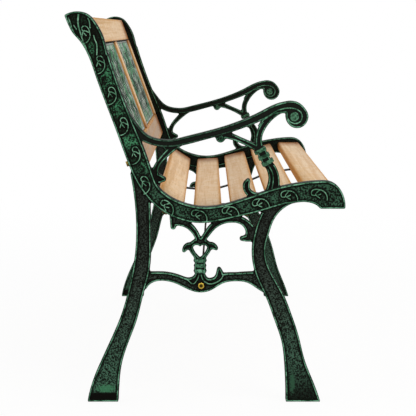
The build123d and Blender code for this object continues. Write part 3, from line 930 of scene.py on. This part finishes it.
def arm_lines():
    """Ridges and spirals of the arm on both faces, and rings of the ornament's stem."""
    lines = []
    for places, half in ((arm_foot_ridge, support_half), (scroll_line, arm_half)):
        for side in (-1, 1):
            points = [on_frame(place, side * (half - arm_rim_radius - rim_sink)) for place in places]
            lines.append(even_line(points, arm_rim_radius))
    for centre, half_width in stem_rings:
        loop = ring_round(centre, half_width - stem_radius / 2, ornament_half - stem_radius)
        lines.append(even_line(loop, stem_radius, closed=True))
    for centre, reach, half in eyes:
        for side in (-1, 1):
            spiral = eye_spiral(centre, reach, side * (half - eye_line_radius))
            lines.append(even_line(spiral, eye_line_radius))
    return lines


def tendril_lines():
    """One tendril, flat in its own frame: x upstream, y away from the sitter."""
    lines = []
    for places in (tendril_curl, tendril_leaf, tendril_vein):
        lines.append(even_line([(along * MM, -across * MM, 0) for along, across in places], vine_radius))
    return lines


def thinned_casting(mesh):
    """The casting with its flat ground lowered below its rims and its stippled members marked; the lugs on
    its inner face stay."""
    thin = mesh.copy()
    stippled = thin.attributes.new("stippled", "FLOAT", "POINT")
    for vert, mark in zip(thin.vertices, stippled.data):
        is_plain = any(lies_on(vert.co, half) for half in (arm_half, support_half, boss_half))
        mark.value = plain_stipple if is_plain else 1.0
        out = vert.co.x - frame_middle
        if abs(out) < (band_half + level_slack) * MM:
            vert.co.x -= copysign(ground_drop * MM, out)
    return thin


def dense_skin(mesh):
    """The casting as one even, soft-edged skin."""
    piece = add_object("casting", mesh)
    grid = piece.modifiers.new("even grid", "REMESH")
    grid.mode = "VOXEL"
    grid.voxel_size = skin_grid * MM
    grid.use_smooth_shade = True
    soft = piece.modifiers.new("soft edges", "SMOOTH")
    soft.iterations = skin_smoothing
    return made_plain(piece)


def joined(*meshes):
    """Meshes put together in one."""
    shape = bmesh.new()
    for mesh in meshes:
        shape.from_mesh(mesh)
    return as_mesh("joined", shape)


def mirrored(mesh):
    """A mesh turned over to the other end of the bench, with its faces still outwards."""
    other = mesh.copy()
    other.transform(Matrix.Scale(-1, 4, (1, 0, 0)))
    other.flip_normals()
    return other


def add_piece(name, mesh, slot, *nodes):
    """Add a finished piece that rides on the bench; the given nodes are hidden."""
    piece = add_object(name, mesh)
    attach(piece, "root")
    if nodes:
        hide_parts(*nodes)


def end_frames():
    """Both cast end frames: ground, rims, vines and ornament, made at the left and mirrored."""
    casting = merged_copy("left_end_frame")
    rims = ridge_mesh("rims", rim_lines(casting), Flowing=False, Material=rim_paint)
    leaves = ridge_mesh("leaves", line_mesh("leaf_lines", leaf_lines()))
    bands = ridge_mesh("bands", line_mesh("arm_lines", arm_lines()), Material=rim_paint)
    tendril = add_object("tendril", line_mesh("tendril_lines", tendril_lines()))
    band = [on_frame(place, band_half - vine_radius - vine_sink) for place in tendril_places]
    vines = run_tree(vine_tree(), "vines", line_mesh("band", [(band, (1.0, 1.0), False)]), {
        "Tendril": tendril, **ridge_values})
    thin = thinned_casting(casting)
    domes = collar_and_eyes()
    helpers = [add_object(mesh.name, mesh) for mesh in (thin, rims, joined(vines, leaves, bands, domes))]
    skin = run_tree(skin_tree(), "skin", dense_skin(thin), {
        "Casting": helpers[0], "Rims": helpers[1], "Relief": helpers[2], "Pebble size": pebble_size * MM,
        "Pebble height": pebble_height * MM, "Field rise": (field_rise - pebble_height / 2) * MM,
        "Material": iron})
    for helper in (tendril, *helpers):
        bpy.data.objects.remove(helper)
    castings = {
        "casting": skin, "rims": rims, "vines": vines, "leaves": leaves, "bands": bands, "eyes": domes}
    for label, mesh in castings.items():
        add_piece(f"left_end_{label}", mesh, "patinated_cast_iron", "left_end_frame")
        add_piece(f"right_end_{label}", mirrored(mesh), "patinated_cast_iron", "right_end_frame")


def own_frame(mesh, name):
    """Middle of a board or panel, its directions along, up and out of its broadest face, and its half size
    in each."""
    normal = max(mesh.polygons, key=lambda face: face.area).normal.copy()
    along = Vector((1, 0, 0))
    directions = (along, normal.cross(along), normal)
    low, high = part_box(name)
    middle = (low + high) / 2
    halves = [max((vert.co - middle).dot(way) for vert in mesh.vertices) for way in directions]
    return middle, directions, halves


def board(name, number, tint):
    """A wooden board: a copy of its node that carries the place of every point along its own grain. The
    lower edge of the top rail carries a painted shadow where it meets the panels."""
    mesh = merged_copy(name)
    middle, (along, across, normal), (half_length, half_width, _) = own_frame(mesh, name)
    if name.endswith("stile"):
        along, across = across, along
        half_length, half_width = half_width, half_length
    has_joint_shadow = name == "back_top_rail"
    shift = Vector(metres(grain_shift)) * number
    offsets = [vert.co - middle for vert in mesh.vertices]
    places = [Vector((offset.dot(along), offset.dot(across), offset.dot(normal))) for offset in offsets]
    for label, step in (("board_place", Vector()), ("grain", shift)):
        values = [value for place in places for value in place + step]
        mesh.attributes.new(label, "FLOAT_VECTOR", "POINT").data.foreach_set("vector", values)
    faces = mesh.polygons
    marks = {
        "edge": [0.0 if abs(face.normal.dot(normal)) > broad_share else 1.0 for face in faces],
        "tint": [tint] * len(faces),
        "half_length": [half_length] * len(faces),
        "half_width": [half_width] * len(faces),
        # Painted shadow along the top rail's lower edge, where it meets the panels
        "joint": [
            1.0 if has_joint_shadow and -face.normal.dot(across) > joint_shadow_share else 0.0 for face in faces],
    }
    for label, values in marks.items():
        mesh.attributes.new(label, "FLOAT", "FACE").data.foreach_set("value", values)
    for face in faces:
        face.use_smooth = True
    mesh.set_sharp_from_angle(angle=radians(board_sharp_angle))
    mesh.materials.append(hardwood)
    add_piece(f"{name}_board", mesh, "oiled_hardwood", name)


def rosette_mesh():
    """A small round flower with eight petals, domed, low enough in faces to be repeated."""
    shape = bmesh.new()
    loops = []
    for reach, rise, petal in rosette_rings:
        loop = []
        for step in range(round_steps):
            turn = 2 * pi * step / round_steps
            out = reach * (1 - petal * (step % 2)) * rosette_radius * MM
            loop.append(shape.verts.new((out * cos(turn), out * sin(turn), rise * rosette_height * MM)))
        loops.append(loop)
    for lower, upper in zip(loops, loops[1:]):
        for step in range(round_steps):
            after = (step + 1) % round_steps
            shape.faces.new((lower[step], lower[after], upper[after], upper[step]))
    shape.faces.new(loops[-1])
    return as_mesh("rosette", shape)


def rosette_tree():
    """A rosette on every crossing, facing the way that is stored there."""
    tree, given = new_tree("rosettes on crossings", {
        "Rosette": "NodeSocketObject", "Material": "NodeSocketMaterial"})
    facing = add_node(tree, "GeometryNodeInputNamedAttribute", {"Name": "facing"}, data_type="FLOAT_VECTOR")
    turn = add_node(tree, "FunctionNodeAlignRotationToVector", {
        "Vector": facing.outputs["Attribute"]}, axis="Z")
    flowers = add_node(tree, "GeometryNodeInstanceOnPoints", {
        "Points": given["Geometry"], "Instance": shape_of(tree, given["Rosette"]),
        "Rotation": turn.outputs["Rotation"]})
    end_tree(tree, flowers.outputs["Instances"], given["Material"])
    return tree


def crossings(mesh, name):
    """Points where the trellis bars of a panel cross, on both of its faces, with the way each face looks."""
    middle, (along, up, normal), (half_length, half_height, half_thickness) = own_frame(mesh, name)
    half_pitch = trellis_pitch / 2 * MM
    margin = trellis_margin * MM
    columns = int((half_length - margin) / half_pitch)
    rows = int((half_height - margin) / half_pitch)
    points = []
    facing = []
    for column in range(-columns, columns + 1):
        for row in range(-rows, rows + 1):
            if (column + row) % 2:
                continue
            place = middle + along * column * half_pitch + up * row * half_pitch
            for side in (-1, 1):
                points.append(place + normal * side * half_thickness)
                facing.append(normal * side)
    cloud = new_mesh("crossings", points)
    looks = cloud.attributes.new("facing", "FLOAT_VECTOR", "POINT")
    for item, way in zip(looks.data, facing):
        item.vector = way
    return cloud


def bead_lines(mesh, name):
    """The border bead on both faces of a panel, where it leaves the grooves of the wood."""
    middle, (along, up, normal), (half_length, half_height, half_thickness) = own_frame(mesh, name)
    hidden = (panel_tongue + bead_radius) * MM
    lines = []
    for side in (-1, 1):
        corners = []
        for right, high in ((-1, -1), (1, -1), (1, 1), (-1, 1)):
            flat = along * right * (half_length - hidden) + up * high * (half_height - hidden)
            corners.append(middle + flat + normal * side * half_thickness)
        lines.append(even_line(corners, bead_radius, closed=True))
    return lines


def back_panels():
    """The trellis panels: soft-edged bars, a border bead, and a rosette on every crossing."""
    flower = add_object("rosette", rosette_mesh())
    tree = rosette_tree()
    for end in ("left", "right"):
        name = f"{end}_back_panel"
        mesh = merged_copy(name)
        rosettes = run_tree(tree, "rosettes", crossings(mesh, name), {"Rosette": flower, "Material": resin})
        border = line_mesh("bead_lines", bead_lines(mesh, name))
        bead = ridge_mesh("bead", border, Flowing=False, Material=bead_highlight_resin)
        trellis = add_object("trellis", mesh)
        soft = trellis.modifiers.new("moulded edges", "BEVEL")
        soft.width = panel_bevel * MM
        soft.segments = panel_bevel_steps
        soft.limit_method = "ANGLE"
        soft.angle_limit = radians(panel_sharp_angle)
        bars = made_plain(trellis)
        bars.materials.append(resin)
        add_piece(f"{end}_trellis", bars, "moulded_panel", name)
        add_piece(f"{end}_rosettes", rosettes, "moulded_panel")
        add_piece(f"{end}_bead", bead, "moulded_panel")
    bpy.data.objects.remove(flower)


def metalwork():
    """Steel pieces keep the shape of their nodes and get their finish."""
    finishes = {
        "strip": black_steel, "rod": black_steel, "bolt": bolt_zinc, "screw": screw_zinc,
        "washer": screw_zinc}
    for name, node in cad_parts.items():
        for word, finish in finishes.items():
            if word in name:
                node.data.materials.clear()
                node.data.materials.append(finish)


def add_floor():
    """A pale floor that takes the bench's shadow and fades into white around it."""
    reach, drop = metres((floor_reach, floor_drop))
    corners = [(x * reach, y * reach, -drop) for x, y in ((-1, -1), (1, -1), (1, 1), (-1, 1))]
    mesh = new_mesh("floor", corners, faces=[(0, 1, 2, 3)])
    add_object("floor", mesh)
    material = bpy.data.materials.new("pale_floor")
    tree = emptied_tree(material)
    rays = add_node(tree, "ShaderNodeLightPath")
    away = on_vector(tree, "LENGTH", object_place(tree))
    fading = ease(tree, away, *metres(floor_fade), low=floor_white)
    matt = add_node(tree, "ShaderNodeBsdfDiffuse", {"Color": colour("#F0F0EE")})
    white = add_node(tree, "ShaderNodeEmission", {"Color": colour("#FFFFFF"), "Strength": 1.0})
    both = add_node(tree, "ShaderNodeMixShader", {
        0: product(tree, rays.outputs["Is Camera Ray"], fading), 1: matt.outputs["BSDF"],
        2: white.outputs["Emission"]})
    add_node(tree, "ShaderNodeOutputMaterial", {"Surface": both.outputs["Shader"]})
    mesh.materials.append(material)


def add_light():
    """Plain soft light: a white sky, dimmer where it only lights the bench, and three broad lamps."""
    scene = bpy.context.scene
    scene.view_settings.view_transform = "Standard"
    scene.world = bpy.data.worlds.new("studio")
    tree = emptied_tree(scene.world)
    rays = add_node(tree, "ShaderNodeLightPath")
    direct = rays.outputs["Is Camera Ray"]
    for kind in ("Is Glossy Ray", "Is Transmission Ray"):
        direct = calc(tree, "MAXIMUM", direct, rays.outputs[kind])
    sky = add_node(tree, "ShaderNodeBackground", {
        "Color": colour("#FFFFFF"), "Strength": ramp(tree, direct, 0, 1, low=sky_share)})
    add_node(tree, "ShaderNodeOutputWorld", {"Surface": sky.outputs["Background"]})
    for name, (place, width, power) in lamps.items():
        lamp = bpy.data.lights.new(name, "AREA")
        lamp.energy = power
        lamp.size = width * MM
        holder = add_object(name, lamp)
        holder.location = metres(place)
        aim = Vector(metres(lamp_target)) - Vector(metres(place))
        holder.rotation_euler = aim.to_track_quat("-Z", "Y").to_euler()


def add_camera():
    """The camera at the photograph's angle."""
    lens = bpy.data.cameras.new("camera")
    lens.lens = camera_lens
    lens.sensor_width = camera_sensor
    camera = add_object("camera", lens)
    camera.location = Vector(camera_place) * MM
    camera.rotation_euler = (radians(90 - camera_pitch), 0, radians(-90))
    bpy.context.scene.camera = camera


end_frames()
for board_number, (board_name, board_tint_and_shade) in enumerate(board_tints_and_shade.items()):
    board(board_name, board_number, board_tint_and_shade)
back_panels()
metalwork()
add_floor()
add_light()
add_camera()
